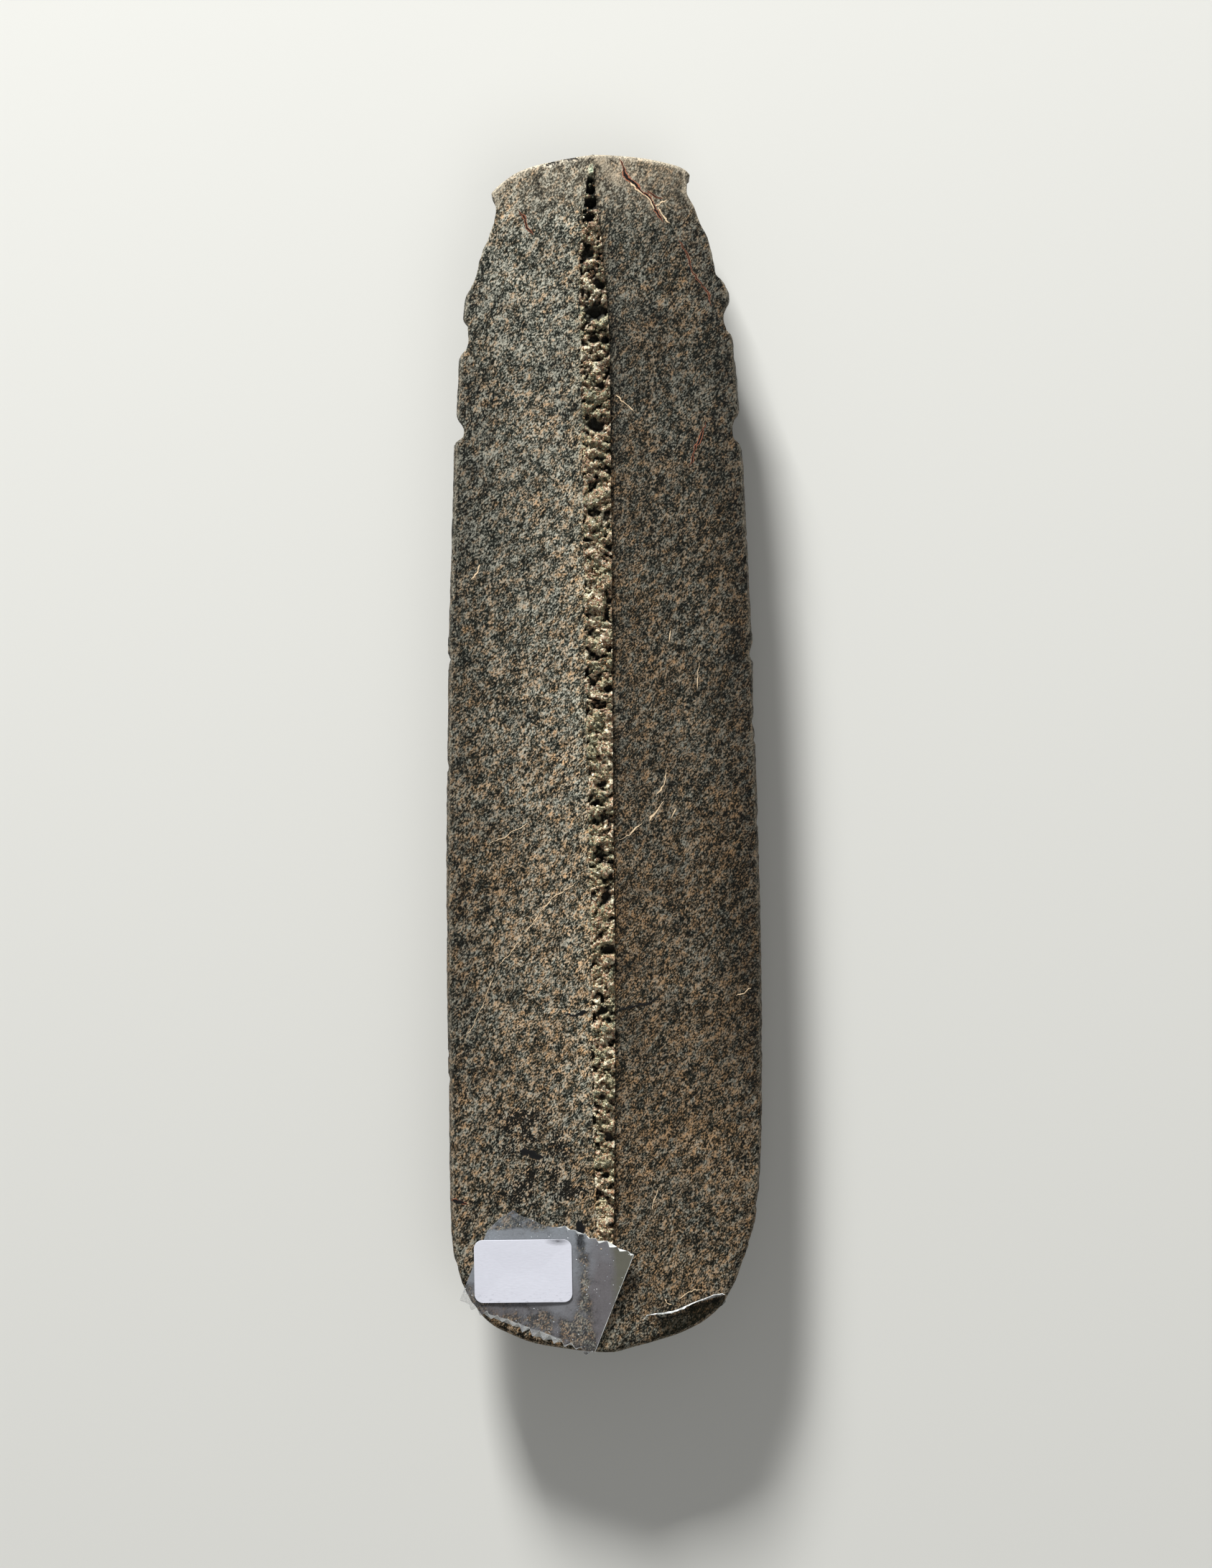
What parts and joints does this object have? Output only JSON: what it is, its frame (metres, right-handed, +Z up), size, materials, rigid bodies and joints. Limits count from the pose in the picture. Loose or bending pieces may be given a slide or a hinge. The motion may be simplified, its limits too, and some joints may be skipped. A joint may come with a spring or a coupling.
{
  "type": "jade axe-god pendant",
  "caption": "Flat celt-shaped jade pendant with a flared crest, string-sawn notches, a rough central septum on its sawn back and a taped blank label.",
  "frame": {"origin": "under the middle of the outline, on the surface that the carved front rests on", "axes": "+X to the right of the sawn back as pictured, +Y towards the crest, +Z up, out of the sawn back"},
  "size_m": [0.0423, 0.16, 0.0151],
  "materials": {
    "stone": "satin speckled grey-green and brown stone, rough along the septum",
    "tape": "clear film tape, hazy where it has lifted",
    "label": "matte white paper, bare",
    "film": "clear film with a torn white edge"
  },
  "bodies": {
    "root": {"pendant_stone": "stone", "tape_strip": "tape", "paper_label": "label", "film_scrap": "film"}
  },
  "joints": []
}
